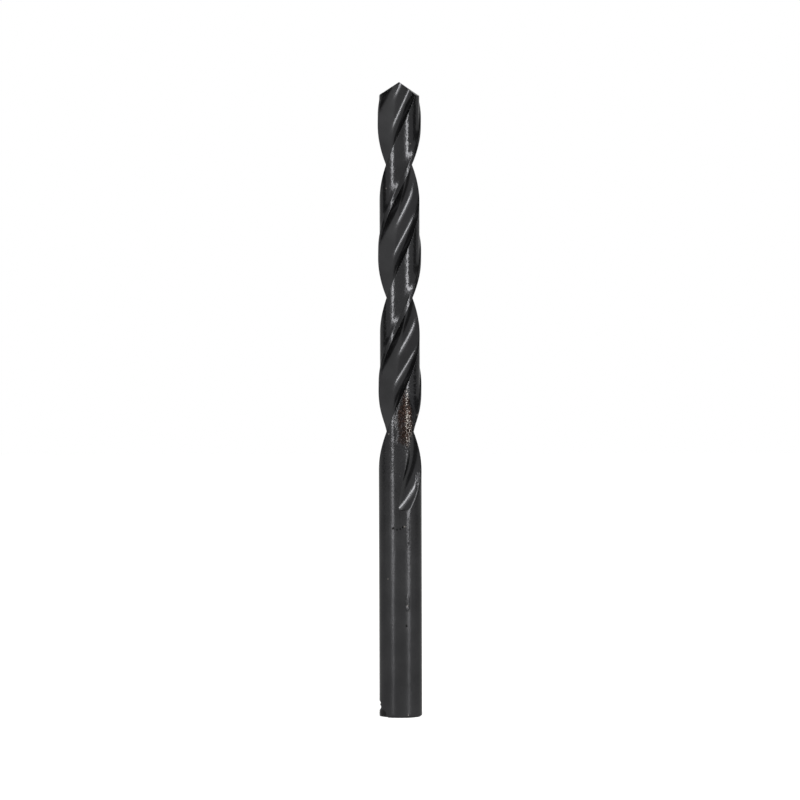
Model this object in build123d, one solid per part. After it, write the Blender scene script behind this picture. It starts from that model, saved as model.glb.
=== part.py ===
from build123d import *
from math import asin, atan2, ceil, cos, degrees, radians, sin, sqrt, tan
import os

# Right-hand twist drill bit, jobber length, standing on its shank end with the point up.
# Millimetres and degrees, Z up the axis, origin at the middle of the shank end.

# --- sizes that drive everything else ---
diameter = 8.0              # across the margins at the point
overall_length = 117.0
flute_length = 78.8         # point to the very end of the flute run-out
shank_diameter = 7.9
lead = 49.1                 # one turn of the flutes, about 27 degrees of helix
point_angle = 118.0

# --- section of the fluted body ---
web_at_point = 1.4          # core left between the two flutes
web_growth = 0.016          # web gained per mm towards the shank
land_angle = 78.5           # leading edge back to the heel
margin_angle = 12.0         # full-diameter strip behind the leading edge
relief_angle = 27.0         # where the flat behind the margin meets the land
body_clearance = 0.292      # land below the full radius
step_share = 0.44           # of that, made up by the flat before the step
rake_end_ratio = 1.6        # rake face gives way to the heel arc at this many half webs
leading_edge_level = 108.9  # height at which a leading edge faces +X

# --- ends of the flutes and of the clearance ---
runout_length = 15.6        # height over which the flutes lift out of the bar
runout_depth = 0.2          # left of a flute where it stops short
runout_ease = 1.15
lift_direction = 92.0       # from the leading edge, along which the flute form moves out
unwind_length = 22.0        # the helix opens a little over this height
unwind_angle = 14.0
clearance_stop = 15.8       # clearance ends this far above the end of the flutes
clearance_ramp = 5.0
clearance_feather = 0.02    # last step of that ramp

# --- point and shank end ---
point_height = 2.16         # outer corners to the chisel edge
chisel_offset = 1.43        # tip of the grinding cone, past the axis from its lip
flank_tilt = 7.5            # fall of the flank behind the lip
end_chamfer = 0.3
chip_height = 2.1           # chip knocked out of the side of the shank, near its end
chip_length = 1.9
chip_depth = 0.25

# --- worked out from them ---
radius = diameter / 2
shank_radius = shank_diameter / 2
point_half = radians(point_angle / 2)
turn_rate = 360 / lead
flute_end = overall_length - flute_length
clearance_end = flute_end + clearance_stop
corner_level = overall_length - point_height
over_tip = overall_length + diameter / 4
outside = radius * 1.25
section_step = 24 / turn_rate
runout_step = section_step / 1.5
flute_splits = (0, 0.36, 0.68, 1)
flute_spans = 4
land_spans = 2
margin_spans = 4
rake_nudge = 0.001
halvings = 40


def polar(r, angle):
    return Vector(r * cos(radians(angle)), r * sin(radians(angle)))


def bearing(point):
    return degrees(atan2(point.Y, point.X))


def turn_between(first, second):
    """Cross and dot product, as the clockwise turn from first to second asks for them."""
    return first.Y * second.X - first.X * second.Y, first.dot(second)


def share(value, start, end):
    """How far value has gone from start to end, held between 0 and 1."""
    return min(max((value - start) / (end - start), 0.0), 1.0)


def levels(start, end, step):
    count = ceil((end - start) / step)
    return [start + (end - start) * i / count for i in range(count + 1)]


def helix_turn(z):
    opened = unwind_angle * share(z, flute_end + unwind_length, flute_end) ** 1.5
    return (z - leading_edge_level) * turn_rate + opened


def web_at(z):
    return web_at_point + web_growth * max(overall_length - z, 0)


def bar_radius(z):
    """Slight back taper, from full diameter at the corners down to the shank."""
    return shank_radius + (radius - shank_radius) * (z - flute_end) / (corner_level - flute_end)


def land_radius(z):
    ramp = share(z, clearance_end, clearance_end + clearance_ramp)
    return bar_radius(z) - clearance_feather - (body_clearance - clearance_feather) * ramp


def rake_point(r, half_web):
    """Point of the rake face at radius r that makes the ground lip a straight line."""
    along = sqrt(r * r - half_web * half_web)
    corner = sqrt(radius * radius - half_web * half_web)
    rise = (corner - along) / tan(point_half)
    angle = degrees(asin(half_web / r) - asin(half_web / radius)) - turn_rate * rise
    return polar(r, angle)


def spline_along(point_at, spans):
    """Curve through evenly spread points of a function of 0 to 1."""
    steps = [i / spans for i in range(spans + 1)]
    return Edge.make_spline([point_at(i) for i in steps], parameters=steps)


def arc_along(r, start, end, spans):
    """Arc about the axis, from one bearing to another."""
    return spline_along(lambda i: polar(r, start + (end - start) * i), spans)


def flute_curve(z, edge_radius, heel_radius):
    """Rake face and heel side of one flute, leading edge on +X, cut off at the bar."""
    half_web = web_at(z) / 2
    inner = half_web * rake_end_ratio
    foot = rake_point(inner, half_web)
    run = foot - rake_point(inner + rake_nudge, half_web)
    chord = polar(radius - body_clearance, 180 - land_angle) - foot
    half_turn = atan2(run.X * chord.Y - run.Y * chord.X, run.dot(chord))
    arc_radius = chord.length / 2 / sin(abs(half_turn))
    centre = foot + run.rotate(Axis.Z, -90).normalized() * arc_radius
    # Lift: far enough at the end to leave runout_depth under the surface of the bar.
    away = polar(1, lift_direction)
    reach = bar_radius(flute_end) - runout_depth + arc_radius
    over = centre.dot(away)
    full_lift = sqrt(over**2 - centre.dot(centre) + reach**2) - over
    lift = away * full_lift * share(z, flute_end + runout_length, flute_end) ** runout_ease

    def place(along):
        """Point this far along the curve from the foot of the rake face, back up it if negative."""
        if along < 0:
            return rake_point(inner - along, half_web) + lift
        return centre + (foot - centre).rotate(Axis.Z, -degrees(along / arc_radius)) + lift

    def reaches(limit, inside, beyond):
        for _ in range(halvings):
            middle = (inside + beyond) / 2
            if place(middle).length < limit:
                inside = middle
            else:
                beyond = middle
        return inside

    low = centre + lift
    deepest = max(0, arc_radius * atan2(*turn_between(foot - centre, low * -1)))
    start = reaches(edge_radius, deepest, inner - outside)
    end = reaches(heel_radius, deepest, 2 * arc_radius * abs(half_turn) + radius)
    ends = [start + (end - start) * i for i in flute_splits]
    return [spline_along(lambda i: place(a + (b - a) * i), flute_spans) for a, b in zip(ends, ends[1:])]


def section(z):
    """Section of the fluted body: flute, land, flat, step and margin, then the same half a turn on."""
    rim = bar_radius(z)
    low = land_radius(z)
    flute = flute_curve(z, rim, low)
    start = bearing(flute[-1] @ 1)
    end = 180 + bearing(flute[0] @ 0)
    flat_start = 180 - relief_angle
    margin_start = 180 - margin_angle
    step_foot = polar(low + (rim - low) * step_share, margin_start)
    step_top = polar(rim, margin_start)
    land = arc_along(low, start, flat_start, land_spans)
    flat = Line(land @ 1, step_foot)
    step = Line(step_foot, step_top)
    margin = arc_along(rim, margin_start, end, margin_spans)
    half = flute + [land, flat, step, margin]
    edges = half + [edge.rotate(Axis.Z, 180) for edge in half]
    return Pos(0, 0, z) * Rot(0, 0, helix_turn(z)) * Face(Wire(edges))


# Shank: a plain round bar with its end corner broken.
shank_outline = Polyline(
    (0, 0),
    (shank_radius - end_chamfer, 0),
    (shank_radius, end_chamfer),
    (shank_radius, flute_end),
    (0, flute_end),
    close=True,
)
shank = revolve(Plane.XZ * make_face(shank_outline), Axis.Z)

# Chip out of the -X side of the shank.
chip_radius = ((chip_length / 2) ** 2 + chip_depth**2) / (2 * chip_depth)
chip = Pos(-(shank_radius - chip_depth + chip_radius), 0, chip_height) * Sphere(chip_radius)
shank = shank - chip

# Body: sections carried up the helix, past the point.
runout_top = flute_end + runout_length
heights = levels(flute_end, runout_top, runout_step) + levels(runout_top, over_tip, section_step)[1:]
fluted = loft([section(z) for z in heights])

# Point: one grinding cone per lip, the lip lying along its side.
half_web = web_at_point / 2
corner_along = sqrt(radius**2 - half_web**2)
lip_turn = helix_turn(corner_level) - degrees(asin(half_web / radius))
cone_tip = Vector(-chisel_offset, half_web, corner_level + (corner_along + chisel_offset) / tan(point_half))
cone_height = overall_length * 1.5
grind = Cone(cone_height * tan(point_half), 0, cone_height, align=(Align.CENTER, Align.CENTER, Align.MAX))
lip_line = Axis(cone_tip, (sin(point_half), 0, -cos(point_half)))
grind = Rot(0, 0, lip_turn) * (Pos(cone_tip) * grind).rotate(lip_line, flank_tilt)
fluted = fluted & grind & (Rot(0, 0, 180) * grind)

drill_bit = shank.solids()[0].fuse(fluted.solids()[0], glue=True)
drill_bit.label = "drill_bit"
drill_bit.color = Color(0.16, 0.16, 0.17)
print("bounds", drill_bit.bounding_box(), "volume", drill_bit.volume, "valid", drill_bit.is_valid)

os.makedirs("parts", exist_ok=True)
export_step(drill_bit, "parts/drill_bit.step")
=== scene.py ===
import math

import bpy
import numpy as np
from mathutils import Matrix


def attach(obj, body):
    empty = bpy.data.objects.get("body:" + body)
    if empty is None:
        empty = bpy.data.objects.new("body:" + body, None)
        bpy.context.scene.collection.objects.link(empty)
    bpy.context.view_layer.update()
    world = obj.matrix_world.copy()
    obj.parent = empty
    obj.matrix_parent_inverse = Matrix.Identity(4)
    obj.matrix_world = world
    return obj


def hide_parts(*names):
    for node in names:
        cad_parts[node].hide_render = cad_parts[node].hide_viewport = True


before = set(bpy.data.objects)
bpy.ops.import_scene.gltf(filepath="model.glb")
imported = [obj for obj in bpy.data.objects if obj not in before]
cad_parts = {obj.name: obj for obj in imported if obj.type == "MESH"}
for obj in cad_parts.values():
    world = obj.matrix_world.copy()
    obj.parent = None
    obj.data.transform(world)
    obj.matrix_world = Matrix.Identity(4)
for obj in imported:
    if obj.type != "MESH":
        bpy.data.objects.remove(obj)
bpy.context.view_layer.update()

# Twist drill bit on its shank end, point up. Sizes are millimetres and degrees; meshFrom makes them metres.
# Across a section the points are complex numbers, so a turn by an angle is one multiplication.
perMetre = 1000                 # millimetres

bit = {
    "radius": 3.999,            # at the margins, at the point: a hair under the solid's, to stay in its box
    "length": 117.0,
    "fluteLength": 78.8,        # point to the very end of the flutes
    "shankRadius": 3.95,
    "lead": 49.1,               # one turn of the flutes
    "leadingLevel": 108.9,      # a leading edge faces +X here

    # section of the body
    "webAtPoint": 1.4,          # core left between the flutes
    "webGrowth": 0.016,         # per millimetre towards the shank
    "landAngle": 78.5,          # leading edge back to the heel
    "marginAngle": 12.0,        # full-radius strip behind the leading edge
    "reliefAngle": 27.0,        # where the flat behind the margin meets the land
    "clearance": 0.292,         # land below the bar
    "stepShare": 0.44,          # of the clearance, made up by the flat before the step
    "rakeEnd": 1.6,             # rake face becomes the heel arc at this many half webs
    "rakeNudge": 0.001,         # to the next point of the rake face, for its direction there
    "rakeReach": 5.0,           # the rim is looked for this far up the rake face
    "heelReach": 4.0,           # and this far past the heel

    # run-out
    "runoutLength": 15.6,       # height over which the flutes lift out of the bar
    "runoutDepth": 0.2,         # left of a flute where it stops
    "runoutEase": 1.15,
    "liftDirection": 92.0,      # from the leading edge
    "unwindLength": 22.0,       # the helix opens a little over this height
    "unwindAngle": 14.0,
    "unwindEase": 1.5,
    "clearanceStop": 15.8,      # clearance ends this far above the end of the flutes
    "clearanceRamp": 5.0,
    "endWall": 0.12,            # height of the step where a flute stops

    # ground point
    "pointHalf": 59.0,
    "pointHeight": 2.16,        # outer corners to the chisel edge
    "chiselOffset": 1.43,       # tip of the grinding cone, past the axis from its lip
    "flankTilt": 7.5,           # fall of the flank behind the lip

    # edges
    "edgeRound": 0.045,         # hone on the long edges, wide enough to catch the lamps
    "honeShare": 0.4,           # it takes this much of the margin's step at most
    "rollOver": 0.35,           # leading edge softens by this where the clearance has just ended
    "rollSpan": (44.8, 49.5, 53.0, 57.0),   # heights: it starts, is full, is full for the last time, has gone
    "sharpLeft": 0.012,         # hone left on the leading edge below that
    "heelRoll": 0.3,            # heel edge is rounded by this much more at the end of the flute
    "heelRollSpan": (47.5, 42.5),   # heights: it starts, is full
    "sharpAngle": 42.0,         # edges that turn by more than this are shaded sharp
}
bit["turnRate"] = math.radians(360 / bit["lead"])
bit["fluteEnd"] = bit["length"] - bit["fluteLength"]
bit["cornerLevel"] = bit["length"] - bit["pointHeight"]
bit["clearanceEnd"] = bit["fluteEnd"] + bit["clearanceStop"]
bit["slope"] = math.tan(math.radians(bit["pointHalf"]))

grid = {
    "fluteSide": 40,            # faces on each side of a flute's web point
    "land": 26,
    "flat": 5,
    "step": 3,
    "stepRound": 2,
    "margin": 7,
    "round": 4,
    "bodyStep": 0.36,           # from one level of the body to the next
    "patchStep": 0.16,          # the same across the scorched patch
    "patchSpan": (49.0, 61.0),
    "topFrom": 108.0,           # from here up the levels lean to follow the flanks
    "topLevels": 26,
    "shankStep": 1.4,
    "chipStep": 0.09,
    "chipSpan": (0.9, 3.3),
    "capRings": 6,
    "halvings": 30,             # of a range in which a crossing is looked for
    "pointRange": (112.0, 118.5),   # heights that hold the whole ground point
    "webRange": (0.05, 0.95),   # fractions of a flute that hold its web point
}


def share(value, start, end):
    # how far value has gone from start to end, kept between 0 and 1
    return np.clip((value - start) / (end - start), 0.0, 1.0)


def direction(angle):
    # unit step at an angle in degrees
    return np.exp(1j * np.radians(angle))


def helixTurn(z):
    # turn grows evenly with height; near the shank a share to a power opens the helix
    near = share(z, bit["fluteEnd"] + bit["unwindLength"], bit["fluteEnd"])
    opened = bit["unwindAngle"] * near ** bit["unwindEase"]
    return (z - bit["leadingLevel"]) * bit["turnRate"] + np.radians(opened)


def barRadius(z):
    # straight taper from the shank's radius at the flute end to the full radius at the corners
    rise = (z - bit["fluteEnd"]) / (bit["cornerLevel"] - bit["fluteEnd"])
    return bit["shankRadius"] + (bit["radius"] - bit["shankRadius"]) * rise


def landRadius(z):
    # bar radius less a clearance that ramps up above the end of the flutes
    ramp = share(z, bit["clearanceEnd"], bit["clearanceEnd"] + bit["clearanceRamp"])
    return barRadius(z) - bit["clearance"] * ramp


def rakePoint(r, halfWeb):
    # polar curve ground to a straight lip: arcsine of half web over r, less the turn over the cone's rise
    radius = bit["radius"]
    along = np.sqrt(r * r - halfWeb * halfWeb)
    corner = np.sqrt(radius * radius - halfWeb * halfWeb)
    rise = (corner - along) / bit["slope"]
    turn = np.arcsin(halfWeb / r) - np.arcsin(halfWeb / radius) - bit["turnRate"] * rise
    return r * np.exp(1j * turn)


def fluteShape(z):
    # rake curve down to the web, then the circle tangent to it through the heel; both move out near the shank
    shape = {"halfWeb": (bit["webAtPoint"] + bit["webGrowth"] * np.maximum(bit["length"] - z, 0)) / 2}
    shape["inner"] = shape["halfWeb"] * bit["rakeEnd"]
    shape["foot"] = rakePoint(shape["inner"], shape["halfWeb"])
    run = shape["foot"] - rakePoint(shape["inner"] + bit["rakeNudge"], shape["halfWeb"])
    run = run / np.abs(run)
    chord = (bit["radius"] - bit["clearance"]) * direction(180 - bit["landAngle"]) - shape["foot"]
    halfTurn = np.abs(np.angle(chord * np.conj(run)))
    shape["arc"] = np.abs(chord) / 2 / np.sin(halfTurn)
    shape["centre"] = shape["foot"] - 1j * run * shape["arc"]

    # lift: at the end just enough to leave runoutDepth under the surface of the bar
    away = direction(bit["liftDirection"])
    reach = bit["shankRadius"] - bit["runoutDepth"] + shape["arc"]
    over = (shape["centre"] * np.conj(away)).real
    fullLift = np.sqrt(over**2 - np.abs(shape["centre"]) ** 2 + reach**2) - over
    lifted = share(z, bit["fluteEnd"] + bit["runoutLength"], bit["fluteEnd"]) ** bit["runoutEase"]
    shape["lift"] = away * fullLift * lifted

    # both ends, where the curve comes out of the bar and of the land
    shape["rim"] = barRadius(z)
    shape["low"] = landRadius(z)
    lowest = shape["centre"] + shape["lift"]
    deepest = np.maximum(0, shape["arc"] * np.angle((shape["foot"] - shape["centre"]) * np.conj(-lowest)))
    shape["start"] = reachOut(shape, shape["rim"], deepest, shape["inner"] - bit["rakeReach"])
    shape["end"] = reachOut(shape, shape["low"], deepest, 2 * shape["arc"] * halfTurn + bit["heelReach"])
    return shape


def flutePoint(shape, along):
    # below 0 the rake curve, above 0 the heel circle, both measured by length from the rake's foot
    rake = rakePoint(shape["inner"] - np.minimum(along, 0), shape["halfWeb"])
    arm = shape["foot"] - shape["centre"]
    heel = shape["centre"] + arm * np.exp(-1j * np.maximum(along, 0) / shape["arc"])
    return np.where(along < 0, rake, heel) + shape["lift"]


def reachOut(shape, limit, inside, beyond):
    # halving: where the flute curve comes out through the radius limit
    for _ in range(grid["halvings"]):
        middle = (inside + beyond) / 2
        within = np.abs(flutePoint(shape, middle)) < limit
        inside, beyond = np.where(within, middle, inside), np.where(within, beyond, middle)
    return inside


def bend(a, corner, b, t):
    # quadratic curve from a to b pulled towards the corner
    return (1 - t) ** 2 * a + 2 * t * (1 - t) * corner + t * t * b


def evenly(count):
    # fractions from 0, without the last one
    return np.arange(count) / count


def halfSection(webShare):
    # list of (part name, fractions along it) once round half a section, from a leading edge to the next
    lower = evenly(grid["fluteSide"]) * webShare
    upper = webShare + evenly(grid["fluteSide"]) * (1 - webShare)
    return [
        ("flute", np.concatenate([lower, upper])),
        ("heelRound", evenly(grid["round"])),
        ("land", evenly(grid["land"])),
        ("flat", evenly(grid["flat"])),
        ("step", evenly(grid["step"])),
        ("stepRound", evenly(grid["stepRound"])),
        ("margin", evenly(grid["margin"])),
        ("leadRound", evenly(grid["round"])),
    ]


def leadingRound(z):
    # hone of the leading edge: even above, swelling and then dying away over rollSpan
    low, fullFrom, fullTo, high = bit["rollSpan"]
    swell = bit["rollOver"] * share(z, low, fullFrom) * share(z, high, fullTo)
    return bit["sharpLeft"] + (bit["edgeRound"] - bit["sharpLeft"]) * share(z, low, fullFrom) + swell


def sectionPart(name, t, z):
    # one part of the half section at heights z, turned to its place on the helix
    shape = fluteShape(z)
    rim, low = shape["rim"], shape["low"]
    heelHone = bit["edgeRound"] + bit["heelRoll"] * share(z, *bit["heelRollSpan"])
    leadHone = leadingRound(z)
    fluteFrom, fluteTo = shape["start"] + leadHone, shape["end"] - heelHone
    leading, heel = flutePoint(shape, shape["start"]), flutePoint(shape, shape["end"])
    flatFrom, marginFrom = 180 - bit["reliefAngle"], 180 - bit["marginAngle"]
    footRadius = low + (rim - low) * bit["stepShare"]
    stepFoot, stepTop = footRadius * direction(marginFrom), rim * direction(marginFrom)
    stepHone = np.minimum(bit["edgeRound"], bit["honeShare"] * np.abs(stepTop - stepFoot))
    stepLast = stepTop - stepHone * direction(marginFrom)
    landFrom = np.degrees(np.angle(heel)) + np.degrees(heelHone / low)
    fullFrom = marginFrom + np.degrees(stepHone / rim)
    fullTo = 180 + np.degrees(np.angle(leading)) - np.degrees(leadHone / rim)
    if name == "flute":
        point = flutePoint(shape, fluteFrom + (fluteTo - fluteFrom) * t)
    elif name == "heelRound":
        point = bend(flutePoint(shape, fluteTo), heel, low * direction(landFrom), t)
    elif name == "land":
        point = low * direction(landFrom + (flatFrom - landFrom) * t)
    elif name == "flat":
        point = (low + (footRadius - low) * t * t) * direction(flatFrom + (marginFrom - flatFrom) * t)
    elif name == "step":
        point = stepFoot * (1 - t) + stepLast * t
    elif name == "stepRound":
        point = bend(stepLast, stepTop, rim * direction(fullFrom), t)
    elif name == "margin":
        point = rim * direction(fullFrom + (fullTo - fullFrom) * t)
    else:
        point = bend(rim * direction(fullTo), -leading, -flutePoint(shape, fluteFrom), t)
    return point * np.exp(1j * helixTurn(z))


def halfRing(parts, z):
    # every part side by side; z holds one column a point
    columns = np.cumsum([0] + [len(t) for _, t in parts])
    done = [sectionPart(name, t[None, :], z[:, a:b]) for (name, t), a, b in zip(parts, columns, columns[1:])]
    return np.concatenate(done, axis=1)


# Flank: a cone of the point's half angle, laid over about the lip so that it falls away behind it.
halfPoint, tilt = math.radians(bit["pointHalf"]), math.radians(bit["flankTilt"])
halfCore = bit["webAtPoint"] / 2
lipReach = math.sqrt(bit["radius"] ** 2 - halfCore**2)
lipLine = np.array([math.sin(halfPoint), 0, -math.cos(halfPoint)])
tipLevel = bit["cornerLevel"] + (lipReach + bit["chiselOffset"]) / bit["slope"]
coneTip = np.array([-bit["chiselOffset"], halfCore, tipLevel])
straightDown = np.array([0, 0, -1.0])
coneAxis = (straightDown * math.cos(tilt) + np.cross(lipLine, straightDown) * math.sin(tilt)
            + lipLine * np.dot(lipLine, straightDown) * (1 - math.cos(tilt)))
lipTurn = helixTurn(np.array(bit["cornerLevel"])) - math.asin(halfCore / bit["radius"])


def flankHeight(point):
    # height of the cone over a plan point: lower root of
    # (offset along the axis) squared = cosine squared times (distance from the tip) squared
    local = point * np.exp(-1j * lipTurn)
    dx, dy = local.real - coneTip[0], local.imag - coneTip[1]
    across = coneAxis[0] * dx + coneAxis[1] * dy
    cosSquared = math.cos(halfPoint) ** 2
    a = coneAxis[2] ** 2 - cosSquared
    b = across * coneAxis[2]
    c = across**2 - cosSquared * (dx * dx + dy * dy)
    return coneTip[2] + (-b - np.sqrt(np.maximum(b * b - a * c, 0))) / a


def groundHeight(point):
    # the two flanks are half a turn apart and the lower one is what is left
    return np.minimum(flankHeight(point), flankHeight(-point))


def groundLevels(parts):
    # halving: height at which each line of the body meets the ground point
    count = sum(len(t) for _, t in parts)
    low, high = [np.full((1, count), level) for level in grid["pointRange"]]
    for _ in range(grid["halvings"]):
        middle = (low + high) / 2
        under = middle < groundHeight(halfRing(parts, middle))
        low, high = np.where(under, middle, low), np.where(under, high, middle)
    return low


def chiselShare():
    # halving: fraction of the flute at which the chisel edge starts, where both flanks are equally high
    low, high = grid["webRange"]
    for _ in range(grid["halvings"]):
        middle = (low + high) / 2
        one = [("flute", np.array([middle]))]
        point = halfRing(one, groundLevels(one))
        if flankHeight(-point)[0, 0] < flankHeight(point)[0, 0]:
            low = middle
        else:
            high = middle
    return (low + high) / 2


chip = {
    "bites": [(2.5, 0.38, 0.26, 22.0), (1.72, 0.5, 0.38, 27.0)],    # height, half length, depth, half angle
    "facing": 180.0,
    "steepness": 0.6,           # power of each bowl, below 1 for steep sides
    "ragged": 0.25,             # roughness of the floor, as a share of its depth
    "waves": [(17.0, 0.9), (-9.0, 0.7), (41.0, 0.4)],   # radians a millimetre up and a degree round
}

shankEnd = {
    # height and inset of the rings that break the corner
    "corner": [(0.0, 0.34), (0.05, 0.27), (0.27, 0.045), (0.33, 0.012), (0.42, 0.0), (0.6, 0.0)],
    "squared": (0.9, 40.0),     # share of that inset missing below the chip, and how far round that reaches
    "raised": 0.12,             # part of the bottom edge stands this much higher
    "raisedFrom": (-60.0, -50.0),   # bearings from the chip over which it rises
    "raisedTo": (52.0, 48.0),   # and over which it drops again, far end first
    "raisedGone": 0.8,          # height at which it has died away
    "evenFrom": 5.0,            # points are evenly spread round the bar below this height
    "evenTop": 3.0,             # and follow the flutes from this far under their end
}


def fromChip(bearing):
    # degrees round the bar from the middle of the chip, between -180 and 180
    return np.degrees(np.angle(np.exp(1j * (bearing - math.radians(chip["facing"])))))


def chipDepth(bearing, z):
    # each bite is a shallow bowl: depth times one less the squared distances; sines roughen its floor
    off = fromChip(bearing)
    depth = np.zeros_like(z * bearing)
    for height, halfLength, deep, halfAngle in chip["bites"]:
        bowl = 1 - ((z - height) / halfLength) ** 2 - (off / halfAngle) ** 2
        depth = np.maximum(depth, deep * np.clip(bowl, 0, 1) ** chip["steepness"])
    first, second, fine = [np.sin(z * up + off * around) for up, around in chip["waves"]]
    return depth * (1 + chip["ragged"] * (first * second + fine / 2))


def shankRings(lowest):
    # round rings below the flutes, the points' bearings evened out on the way down; the end corner is broken,
    # less so on a bell curve of the angle from the chip, and part of the bottom edge is raised
    fromBearing = np.unwrap(np.angle(lowest))
    evenBearing = fromBearing[0] + evenly(len(lowest)) * 2 * math.pi
    evenBearing = evenBearing + np.mean(fromBearing - evenBearing)
    top = bit["fluteEnd"] - bit["endWall"]
    below, above = grid["chipSpan"]
    plain = np.linspace(above, top, int((top - above) / grid["shankStep"]) + 1)
    fine = np.arange(below, above, grid["chipStep"])
    corner, inset = np.array(shankEnd["corner"]).T
    z = np.concatenate([corner, fine, plain])[:, None]
    inset = np.concatenate([inset, np.zeros(len(fine) + len(plain))])[:, None]
    eased = share(z, top - shankEnd["evenTop"], shankEnd["evenFrom"])
    bearing = fromBearing[None, :] * (1 - eased) + evenBearing[None, :] * eased
    off = fromChip(bearing)
    kept, reach = shankEnd["squared"]
    radius = bit["shankRadius"] - inset * (1 - kept * np.exp(-((off / reach) ** 2)))
    within = share(off, *shankEnd["raisedFrom"]) * share(off, *shankEnd["raisedTo"])
    raised = shankEnd["raised"] * within * share(z, shankEnd["raisedGone"], 0.0)
    return (radius - chipDepth(bearing, z)) * np.exp(1j * bearing), z + raised


def keepPoints(made, plan, z, flute):
    # adds a grid of points to the mesh and gives their numbers in the same grid
    numbers = made["count"] + np.arange(plan.size).reshape(plan.shape)
    for key, values in (("plan", plan), ("z", z), ("flute", flute)):
        made[key].append(np.broadcast_to(values, plan.shape).ravel())
    made["count"] += plan.size
    return numbers


def keepFaces(made, numbers):
    # one face between each two rows and columns of numbers; seen from outside, rows go up and columns right
    corners = [numbers[:-1, :-1], numbers[:-1, 1:], numbers[1:, 1:], numbers[1:, :-1]]
    made["faces"] += np.stack(corners, axis=-1).reshape(-1, 4).tolist()


def closed(numbers):
    # the first column again after the last
    return np.concatenate([numbers, numbers[:, :1]], axis=1)


def keepBody(made, parts):
    # rings from the shank end to the ground point; gives the lowest and the highest ring
    half = sum(len(t) for _, t in parts)
    low, high = grid["patchSpan"]
    spans = [(bit["fluteEnd"], low, grid["bodyStep"]), (low, high, grid["patchStep"]),
             (high, grid["topFrom"], grid["bodyStep"])]
    levels = np.concatenate([a + (b - a) * evenly(math.ceil((b - a) / step)) for a, b, step in spans])
    rise = np.linspace(0, 1, grid["topLevels"])[:, None]
    leaning = grid["topFrom"] + (groundLevels(parts) - grid["topFrom"]) * rise
    z = np.concatenate([np.repeat(levels[:, None], half, axis=1), leaning])
    plan = halfRing(parts, z)
    plan, z = np.concatenate([plan, -plan], axis=1), np.concatenate([z, z], axis=1)
    shankPlan, shankZ = shankRings(plan[0])
    fluted = np.repeat([0.0, 1.0], [len(shankPlan), len(plan)])[:, None]
    inFlute = np.tile(np.concatenate([np.full(len(t), float(name == "flute")) for name, t in parts]), 2)
    rings = np.concatenate([shankPlan, plan])
    numbers = keepPoints(made, rings, np.concatenate([shankZ, z]), fluted * inFlute)
    keepFaces(made, closed(numbers))
    return numbers[0], numbers[-1]


def keepShankEnd(made, rim):
    # flat end: smaller and smaller copies of the rim, closed by one point
    shrink = np.linspace(1, 0, grid["capRings"] + 1)[1:-1][:, None]
    outline = np.concatenate(made["plan"])[rim]
    rings = closed(np.concatenate([rim[None, :], keepPoints(made, outline * shrink, 0.0, 0.0)]))
    keepFaces(made, rings[::-1])
    pole = np.repeat(keepPoints(made, np.zeros(1, complex), 0.0, 0.0), len(rim))
    made["faces"] += np.stack([rings[-1][:-1], pole, rings[-1][1:]], axis=-1).tolist()


def flankPatch(heelSide, lipSide, outer, inner):
    # blended patch in plan: opposite sides mixed across and along, less the mix of the four corners
    v = np.linspace(0, 1, len(heelSide))[:, None]
    t = np.linspace(0, 1, len(outer))[None, :]
    across = (1 - t) * heelSide[:, None] + t * lipSide[:, None]
    along = (1 - v) * outer[None, :] + v * inner[None, :]
    corners = (1 - v) * ((1 - t) * outer[0] + t * outer[-1]) + v * ((1 - t) * inner[0] + t * inner[-1])
    return across + along - corners


def keepFlanks(made, rim):
    # one blended patch on top of each land, at the height of the ground point; its sides are the land's rim,
    # the heel side of one flute, the lip of the next and the chisel edge, which is straight in plan
    side, half = grid["fluteSide"], len(rim) // 2
    body = np.concatenate(made["plan"])
    line = np.linspace(body[rim[side]], body[rim[half + side]], half - 2 * side + 1)
    inside = keepPoints(made, line[1:-1], groundHeight(line[1:-1]), 0.0)
    chisel = np.concatenate([rim[side:side + 1], inside, rim[half + side:half + side + 1]])
    for land, edge, edgePlan in ((rim, chisel, line), (np.roll(rim, -half), chisel[::-1], line[::-1])):
        heelSide = land[side:2 * side + 1][::-1]
        outer = land[2 * side:half + 1]
        lipSide = land[half:half + side + 1]
        inner = flankPatch(body[heelSide], body[lipSide], body[outer], edgePlan)[1:-1, 1:-1]
        numbers = np.zeros((len(heelSide), len(outer)), int)
        numbers[1:-1, 1:-1] = keepPoints(made, inner, groundHeight(inner), 0.0)
        numbers[0], numbers[-1], numbers[:, 0], numbers[:, -1] = outer, edge, heelSide, lipSide
        keepFaces(made, numbers)


def meshFrom(name, made):
    # plan points and heights in millimetres to a mesh object in metres
    plan, z = np.concatenate(made["plan"]), np.concatenate(made["z"])
    mesh = bpy.data.meshes.new(name)
    mesh.from_pydata((np.stack([plan.real, plan.imag, z], axis=-1) / perMetre).tolist(), [], made["faces"])
    flute = np.concatenate(made["flute"]).astype(np.float32)
    mesh.attributes.new("flute", "FLOAT", "POINT").data.foreach_set("value", flute)
    mesh.shade_smooth()
    mesh.set_sharp_from_angle(angle=math.radians(bit["sharpAngle"]))
    mesh.validate()
    drill = bpy.data.objects.new(name, mesh)
    bpy.context.collection.objects.link(drill)
    return drill


def makeDrill():
    # the body's rings, closed by a flat end below and two flanks above
    made = {"plan": [], "z": [], "flute": [], "faces": [], "count": 0}
    lowest, highest = keepBody(made, halfSection(chiselShare()))
    keepShankEnd(made, lowest)
    keepFlanks(made, highest)
    return meshFrom("drillBitBody", made)


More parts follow.
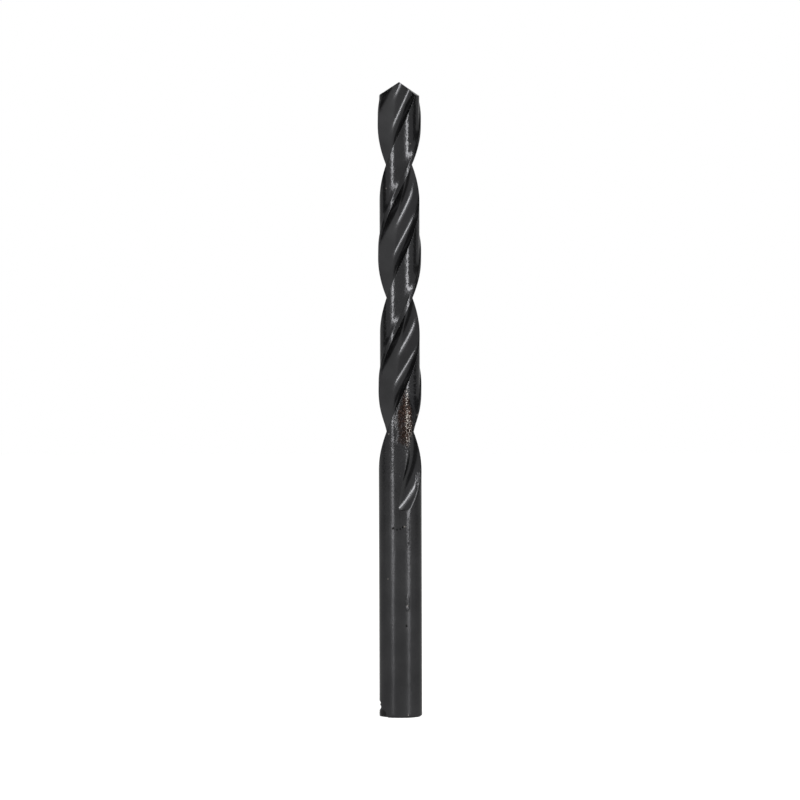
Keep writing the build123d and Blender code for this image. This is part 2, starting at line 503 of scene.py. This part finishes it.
def linear(code):
    # sRGB hex to linear light
    parts = np.array([int(code[i:i + 2], 16) / 255 for i in (1, 3, 5)])
    return (*np.where(parts <= 0.04045, parts / 12.92, ((parts + 0.055) / 1.055) ** 2.4), 1.0)


def addNode(tree, kind, settings=None, **links):
    # one node: settings are properties or numbered and named inputs, links come from other nodes' sockets
    node = tree.nodes.new(kind)
    for key, value in (settings or {}).items():
        if isinstance(key, int) or key in node.inputs and not hasattr(node, key):
            node.inputs[key].default_value = value
        else:
            setattr(node, key, value)
    for key, socket in links.items():
        place = int(key[2:]) if key.startswith("in") and key[2:].isdigit() else key.replace("_", " ")
        tree.links.new(socket, node.inputs[place])
    return node


steel = {
    "dark": "#212122",
    "light": "#363637",
    "fluteTone": 1.14,          # flutes against the rest
    "metallic": 0.84,           # the oxide is only partly a metal: a little of the light comes back dull
    "sheen": 0.3,               # specular level of the rest
    "edgeTone": 0.5,            # how much of the glare at the rims the oxide lets through
    "roughFlute": 0.16,
    "roughLand": 0.17,
    "roughShank": 0.235,
    "roughVary": 0.16,
    "skinSpan": (0.040, 0.058),     # metres up: the shank's skin gives way to the lands'

    # patterns, sized in millimetres, and the height of their relief
    "grain": 0.5,               # one mark of the oxidised skin, drawn three times as coarse as real
    "mottle": 1.7,
    "smear": 5.0,
    "landLift": 0.034,
    "shankLift": 0.011,
    "fluteLift": 0.004,
    "speckCell": 2.2,           # one chance of a speck or pit in each cell of this size
    "speckSize": 0.16,
    "speckLift": 0.07,
    "speckAbove": 0.72,         # cells with a draw above this hold a speck
    "pitBelow": 0.22,           # and below this a small pit
    "core": 0.3,                # share of a speck's or a crack's width that is at full strength

    # rough patches: centre, reach, lift, scorched or not
    "patches": [((1.0, -3.7, 54.6), (2.0, 1.9, 6.0), 0.2, True),
                ((1.25, -3.75, 21.1), (0.5, 1.5, 1.9), 0.07, False),
                ((1.3, -3.75, 34.4), (0.45, 1.5, 3.8), 0.035, False),
                ((3.5, -1.8, 44.0), (0.8, 2.2, 2.8), 0.06, False),
                ((-1.35, -3.7, 50.5), (0.5, 1.5, 5.5), 0.03, False)],
    "patchGrain": 0.5,
    "patchFade": 0.6,           # a patch is full inside this share of its reach
    "ragged": 0.9,              # how far the mottle pulls a patch's rim in and out, as a share of its reach
    "burnt": "#1e1511",         # brown temper colour of the scorched patch
    "burntFade": (0.2, 0.55),
    "stain": ((-3.3, -2.0, 0.75), (0.95, 2.2, 0.8)),    # darker corner below the chip: centre, reach
    "stained": "#191919",

    # bare steel where the skin is broken, painted bright so that it also stands for the lamps' glints: a net
    # of cracks within netted, which lie on the right lamp's line of highlight, and single marks
    "bare": "#6f6b67",
    "netSize": 0.6,
    "netLine": 0.085,           # half width of a crack, as a share of netSize
    "netted": [((1.5, -3.6, 53.2), (0.72, 1.9, 3.9)), ((1.25, -3.75, 58.2), (0.3, 1.6, 2.2))],
    "bareMarks": [(2.04, 105.4, 0.13), (-2.44, 97.2, 0.13), (-2.1, 52.1, 0.14), (0.79, 35.1, 0.16),
                  (1.37, 0.55, 0.13), (-2.3, 25.5, 0.12), (3.2, 55.6, 0.2), (3.12, 54.2, 0.13),
                  (1.3, 20.6, 0.12)],   # across, up, radius

    # pits, dark and sunk
    "pits": [(2.44, 114.3, 0.3), (-2.5, 80.9, 0.24), (-1.3, 34.8, 0.22), (-0.6, 34.55, 0.17),
             (0.0, 34.7, 0.17), (0.4, 35.0, 0.2), (0.05, 115.3, 0.15), (1.1, 16.9, 0.2)],
    "pit": "#0b0b0b",
    "pitDepth": 0.12,
    "markReach": 1.5,           # a mark goes this deep, to find the surface of a flute
}


def blob(tree, place, centre, reach, ragged=None):
    # 1 inside an ellipsoid, fading to 0 at its rim: length of the offset in units of the reach
    shift = [-c / r for c, r in zip(centre, reach)]
    scale = [perMetre / r for r in reach]
    inside = addNode(tree, "ShaderNodeMapping", {"Location": shift, "Scale": scale}, Vector=place)
    away = addNode(tree, "ShaderNodeVectorMath", {"operation": "LENGTH"}, in0=inside.outputs[0]).outputs[1]
    if ragged:
        away = addNode(tree, "ShaderNodeMath", {"operation": "ADD"}, in0=away, in1=ragged).outputs[0]
    fade = {"interpolation_type": "SMOOTHSTEP", 1: 1.0, 2: steel["patchFade"]}
    return addNode(tree, "ShaderNodeMapRange", fade, in0=away).outputs[0]


def greatest(tree, sockets):
    # the largest of several values
    top = sockets[0]
    for socket in sockets[1:]:
        top = addNode(tree, "ShaderNodeMath", {"operation": "MAXIMUM"}, in0=top, in1=socket).outputs[0]
    return top


def onFront(mark):
    # centre and reach of a small mark on the front of the bar: its depth from the circle of the shank
    across, up, size = mark
    return (across, -math.sqrt(bit["shankRadius"] ** 2 - across**2), up), (size, steel["markReach"], size)


def steelPatches(tree, place, mottle):
    # rough patches with a rim that the mottle makes ragged: their lift, the scorched one, the darker corner,
    # the rim
    settings = {"operation": "MULTIPLY_ADD", 1: steel["ragged"], 2: -steel["ragged"] / 2}
    ragged = addNode(tree, "ShaderNodeMath", settings, in0=mottle).outputs[0]
    lifts = []
    for centre, reach, lift, scorched in steel["patches"]:
        within = blob(tree, place, centre, reach, ragged)
        raised = addNode(tree, "ShaderNodeMath", {"operation": "MULTIPLY", 1: lift}, in0=within)
        lifts.append(raised.outputs[0])
        if scorched:
            burntPatch = within
    return greatest(tree, lifts), burntPatch, blob(tree, place, *steel["stain"], ragged), ragged


def steelMarks(tree, place, ragged):
    # bare steel, painted bright as a glint too, is a net of cracks, close to the edges of cells, and single
    # chips; pits are placed like chips
    cracks = addNode(tree, "ShaderNodeTexVoronoi",
                     {"feature": "DISTANCE_TO_EDGE", "Scale": perMetre / steel["netSize"]}, Vector=place)
    line = addNode(tree, "ShaderNodeMapRange", {1: steel["netLine"], 2: steel["netLine"] * steel["core"]},
                   in0=cracks.outputs["Distance"]).outputs[0]
    netted = greatest(tree, [blob(tree, place, centre, reach, ragged) for centre, reach in steel["netted"]])
    net = addNode(tree, "ShaderNodeMath", {"operation": "MULTIPLY"}, in0=line, in1=netted).outputs[0]
    bare = greatest(tree, [net] + [blob(tree, place, *onFront(mark)) for mark in steel["bareMarks"]])
    return bare, greatest(tree, [blob(tree, place, *onFront(mark)) for mark in steel["pits"]])


def steelSpecks(tree, place):
    # the middle of a few cells, chosen by the cell's random colour: 1 where raised, -1 where sunk
    cells = addNode(tree, "ShaderNodeTexVoronoi",
                    {"Scale": perMetre / steel["speckCell"], "Randomness": 1.0}, Vector=place)
    size = steel["speckSize"] / steel["speckCell"]
    settings = {"interpolation_type": "SMOOTHSTEP", 1: size, 2: size * steel["core"]}
    dot = addNode(tree, "ShaderNodeMapRange", settings, in0=cells.outputs["Distance"]).outputs[0]
    pick = addNode(tree, "ShaderNodeSeparateColor", None, in0=cells.outputs["Color"]).outputs[0]
    speck = addNode(tree, "ShaderNodeMath", {"operation": "GREATER_THAN", 1: steel["speckAbove"]}, in0=pick)
    pit = addNode(tree, "ShaderNodeMath", {"operation": "LESS_THAN", 1: steel["pitBelow"]}, in0=pick)
    way = addNode(tree, "ShaderNodeMath", {"operation": "SUBTRACT"}, in0=speck.outputs[0], in1=pit.outputs[0])
    return addNode(tree, "ShaderNodeMath", {"operation": "MULTIPLY"}, in0=dot, in1=way.outputs[0]).outputs[0]


def blackOxideSteel():
    # High-speed steel, fluted, then steam tempered: a thin black oxide skin, semi-gloss, finely granular on
    # lands and shank and smoother where the flutes were rolled: the lamps draw thin, slightly broken lines.
    material = bpy.data.materials.new("blackOxideSteel")
    material.use_nodes = True
    tree = material.node_tree
    tree.nodes.clear()
    place = addNode(tree, "ShaderNodeTexCoord").outputs["Object"]
    flute = addNode(tree, "ShaderNodeAttribute", {"attribute_name": "flute"}).outputs["Fac"]
    up = addNode(tree, "ShaderNodeSeparateXYZ", None, in0=place).outputs[2]
    grain = addNode(tree, "ShaderNodeTexNoise",
                    {"Scale": perMetre / steel["grain"], "Detail": 1.0, "Roughness": 0.5}, Vector=place)
    mottle = addNode(tree, "ShaderNodeTexNoise",
                     {"Scale": perMetre / steel["mottle"], "Detail": 4.0, "Roughness": 0.6}, Vector=place)
    smear = addNode(tree, "ShaderNodeTexNoise",
                    {"Scale": perMetre / steel["smear"], "Detail": 2.0}, Vector=place)
    settings = {"Scale": perMetre / steel["patchGrain"], "Detail": 2.0, "Roughness": 0.7, "Distortion": 0.6}
    scales = addNode(tree, "ShaderNodeTexNoise", settings, Vector=place).outputs["Fac"]
    patch, burntPatch, stain, ragged = steelPatches(tree, place, mottle.outputs["Fac"])
    bare, pits = steelMarks(tree, place, ragged)
    speck = steelSpecks(tree, place)

    # colour: dark to light by the smear, brighter in the flutes, then the patches and marks laid over; the
    # bare steel is painted bright, partly as the lamps' glints
    settings = {"data_type": "RGBA", 6: linear(steel["dark"]), 7: linear(steel["light"])}
    tone = addNode(tree, "ShaderNodeMix", settings, in0=smear.outputs["Fac"]).outputs[2]
    gain = addNode(tree, "ShaderNodeMapRange", {3: 1.0, 4: steel["fluteTone"]}, in0=flute).outputs[0]
    colour = addNode(tree, "ShaderNodeVectorMath", {"operation": "SCALE"}, in0=tone, Scale=gain).outputs[0]
    brown = addNode(tree, "ShaderNodeMath", {"operation": "MULTIPLY"}, in0=burntPatch, in1=scales).outputs[0]
    fadeFrom, fadeTo = steel["burntFade"]
    burnt = addNode(tree, "ShaderNodeMapRange", {1: fadeFrom, 2: fadeTo}, in0=brown).outputs[0]
    for mask, key in ((burnt, "burnt"), (stain, "stained"), (pits, "pit"), (bare, "bare")):
        colour = addNode(tree, "ShaderNodeMix", {"data_type": "RGBA", 7: linear(steel[key])},
                         in0=mask, in6=colour).outputs[2]

    # relief in millimetres: grain, least in the flutes, scales on the patches, then specks and pits
    low, high = steel["skinSpan"]
    skinLift = addNode(tree, "ShaderNodeMapRange",
                       {1: low, 2: high, 3: steel["shankLift"], 4: steel["landLift"]}, in0=up).outputs[0]
    lift = addNode(tree, "ShaderNodeMapRange", {4: steel["fluteLift"]}, in0=flute, in3=skinLift).outputs[0]
    relief = addNode(tree, "ShaderNodeMath", {"operation": "MULTIPLY"},
                     in0=grain.outputs["Fac"], in1=lift).outputs[0]
    relief = addNode(tree, "ShaderNodeMath", {"operation": "MULTIPLY_ADD"},
                     in0=scales, in1=patch, in2=relief).outputs[0]
    for mark, height in ((speck, steel["speckLift"]), (pits, -steel["pitDepth"])):
        relief = addNode(tree, "ShaderNodeMath", {"operation": "MULTIPLY_ADD", 1: height},
                         in0=mark, in2=relief).outputs[0]
    bump = addNode(tree, "ShaderNodeBump", {"Strength": 1.0, "Distance": 1 / perMetre}, Height=relief)

    # roughness: shank to lands by height, flutes apart, and the mottle on top
    skinRough = addNode(tree, "ShaderNodeMapRange",
                        {1: low, 2: high, 3: steel["roughShank"], 4: steel["roughLand"]}, in0=up).outputs[0]
    base = addNode(tree, "ShaderNodeMapRange", {4: steel["roughFlute"]}, in0=flute, in3=skinRough).outputs[0]
    settings = {"operation": "MULTIPLY_ADD", 1: steel["roughVary"], 2: -steel["roughVary"] / 2}
    vary = addNode(tree, "ShaderNodeMath", settings, in0=mottle.outputs["Fac"]).outputs[0]
    rough = addNode(tree, "ShaderNodeMath", {"operation": "ADD"}, in0=base, in1=vary).outputs[0]
    shader = addNode(tree, "ShaderNodeBsdfPrincipled",
                     {"Metallic": steel["metallic"], "Specular IOR Level": steel["sheen"],
                      "Specular Tint": (*[steel["edgeTone"]] * 3, 1.0)},
                     Base_Color=colour, Roughness=rough, Normal=bump.outputs[0])
    addNode(tree, "ShaderNodeOutputMaterial", Surface=shader.outputs[0])
    return material


drill = makeDrill()
drill.data.materials.append(blackOxideSteel())
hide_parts("drill_bit")
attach(drill, "root")
triangles = sum(len(face.vertices) - 2 for face in drill.data.polygons)
print("drill body", len(drill.data.vertices), "points", triangles, "triangles")

studio = {
    "floorHalf": 3.0,
    "floorGlow": 0.85,
    "floorColour": "#d8d8d6",
    "roomLevel": 0.3,           # the world as it lights the floor

    # dark upright strips, a little behind each side
    "screenAt": 0.151,          # sine of their bearing
    "screenHalf": (0.24, 0.19),     # where they have faded out, and where they are full
    "screenStrength": 0.85,

    "lampDistance": 0.95,
    "lampHeight": 1.5,
    "lampUp": 0.06,
    "lamps": [("leftStrip", -41.0, 0.12, 11.0), ("leftWing", -50.0, 0.2, 1.0),  # name, bearing, width, power
              ("rightStrip", 45.5, 0.135, 13.0), ("rightWing", 36.0, 0.2, 1.4)],
    "cameraDistance": 0.63,
    "cameraHeight": 0.05834,
    "cameraRoll": 0.155,
    "frameWidth": 0.14758,      # what the frame spans at the drill
    "sensor": 36.0,
    "clip": (0.01, 20.0),
}


def makeFloor():
    # plain square; seen straight or in the steel it carries a glow, to meet the white of the room, and the
    # light on it adds the shadow
    edge = studio["floorHalf"]
    mesh = bpy.data.meshes.new("studioFloor")
    corners = [(-edge, -edge, 0), (edge, -edge, 0), (edge, edge, 0), (-edge, edge, 0)]
    mesh.from_pydata(corners, [], [(0, 1, 2, 3)])
    floor = bpy.data.objects.new("studioFloor", mesh)
    bpy.context.collection.objects.link(floor)
    material = bpy.data.materials.new("mattWhiteBoard")
    material.use_nodes = True
    tree = material.node_tree
    tree.nodes.clear()
    seen = addNode(tree, "ShaderNodeLightPath").outputs
    direct = addNode(tree, "ShaderNodeMath", {"operation": "MAXIMUM"},
                     in0=seen["Is Camera Ray"], in1=seen["Is Glossy Ray"])
    level = addNode(tree, "ShaderNodeMath", {"operation": "MULTIPLY", 1: studio["floorGlow"]},
                    in0=direct.outputs[0])
    glow = addNode(tree, "ShaderNodeEmission", {"Color": (1, 1, 1, 1)}, Strength=level.outputs[0])
    board = addNode(tree, "ShaderNodeBsdfDiffuse", {"Color": linear(studio["floorColour"])})
    both = addNode(tree, "ShaderNodeAddShader", None, in0=glow.outputs[0], in1=board.outputs[0])
    addNode(tree, "ShaderNodeOutputMaterial", Surface=both.outputs[0])
    mesh.materials.append(material)


def makeRoom():
    # the world: white to the eye and in the steel, an even grey to everything else; two upright dark strips,
    # seen only in the steel, draw its rims: distance of the level direction's y from screenAt, eased off
    world = bpy.data.worlds.new("studioRoom")
    bpy.context.scene.world = world
    world.use_nodes = True
    tree = world.node_tree
    tree.nodes.clear()
    seen = addNode(tree, "ShaderNodeLightPath").outputs
    shiny = addNode(tree, "ShaderNodeMath", {"operation": "MAXIMUM"},
                    in0=seen["Is Glossy Ray"], in1=seen["Is Transmission Ray"]).outputs[0]
    white = addNode(tree, "ShaderNodeMath", {"operation": "MAXIMUM"}, in0=seen["Is Camera Ray"], in1=shiny)
    level = addNode(tree, "ShaderNodeMapRange", {3: studio["roomLevel"], 4: 1.0}, in0=white.outputs[0])
    way = addNode(tree, "ShaderNodeTexCoord").outputs["Generated"]
    flat = addNode(tree, "ShaderNodeVectorMath", {"operation": "MULTIPLY", 1: (1, 1, 0)}, in0=way).outputs[0]
    flat = addNode(tree, "ShaderNodeVectorMath", {"operation": "NORMALIZE"}, in0=flat).outputs[0]
    back = addNode(tree, "ShaderNodeSeparateXYZ", None, in0=flat).outputs[1]
    off = addNode(tree, "ShaderNodeMath", {"operation": "SUBTRACT", 1: studio["screenAt"]}, in0=back)
    off = addNode(tree, "ShaderNodeMath", {"operation": "ABSOLUTE"}, in0=off.outputs[0]).outputs[0]
    outer, inner = studio["screenHalf"]
    settings = {"interpolation_type": "SMOOTHSTEP", 1: outer, 2: inner, 4: studio["screenStrength"]}
    strip = addNode(tree, "ShaderNodeMapRange", settings, in0=off).outputs[0]
    screen = addNode(tree, "ShaderNodeMath", {"operation": "MULTIPLY"}, in0=strip, in1=shiny).outputs[0]
    left = addNode(tree, "ShaderNodeMath", {"operation": "SUBTRACT", 0: 1.0}, in1=screen).outputs[0]
    lit = addNode(tree, "ShaderNodeMath", {"operation": "MULTIPLY"}, in0=level.outputs[0], in1=left)
    sky = addNode(tree, "ShaderNodeBackground", {"Color": (1, 1, 1, 1)}, Strength=lit.outputs[0])
    addNode(tree, "ShaderNodeOutputWorld", Surface=sky.outputs[0])


def makeLamps():
    # two tall soft boxes, each a bright strip with a dimmer one to its left, turned to face the drill
    for name, side, width, power in studio["lamps"]:
        lamp = bpy.data.lights.new(name, "AREA")
        lamp.shape = "RECTANGLE"
        lamp.size, lamp.size_y = width, studio["lampHeight"]
        lamp.energy = power
        holder = bpy.data.objects.new(name, lamp)
        turn, reach = math.radians(side), studio["lampDistance"]
        holder.location = (math.sin(turn) * reach, -math.cos(turn) * reach, studio["lampUp"])
        holder.rotation_euler = (math.radians(90), 0, turn)
        bpy.context.collection.objects.link(holder)


def makeCamera():
    # level, straight on, with the lens that puts frameWidth across the frame at the drill
    camera = bpy.data.objects.new("camera", bpy.data.cameras.new("camera"))
    camera.data.sensor_width = studio["sensor"]
    camera.data.lens = studio["sensor"] * studio["cameraDistance"] / studio["frameWidth"]
    camera.data.clip_start, camera.data.clip_end = studio["clip"]
    camera.location = (0, -studio["cameraDistance"], studio["cameraHeight"])
    camera.rotation_euler = (math.radians(90), math.radians(studio["cameraRoll"]), 0)
    bpy.context.collection.objects.link(camera)
    bpy.context.scene.camera = camera


makeFloor()
makeRoom()
makeLamps()
makeCamera()
bpy.context.scene.view_settings.view_transform = "Standard"
print("studio ready")
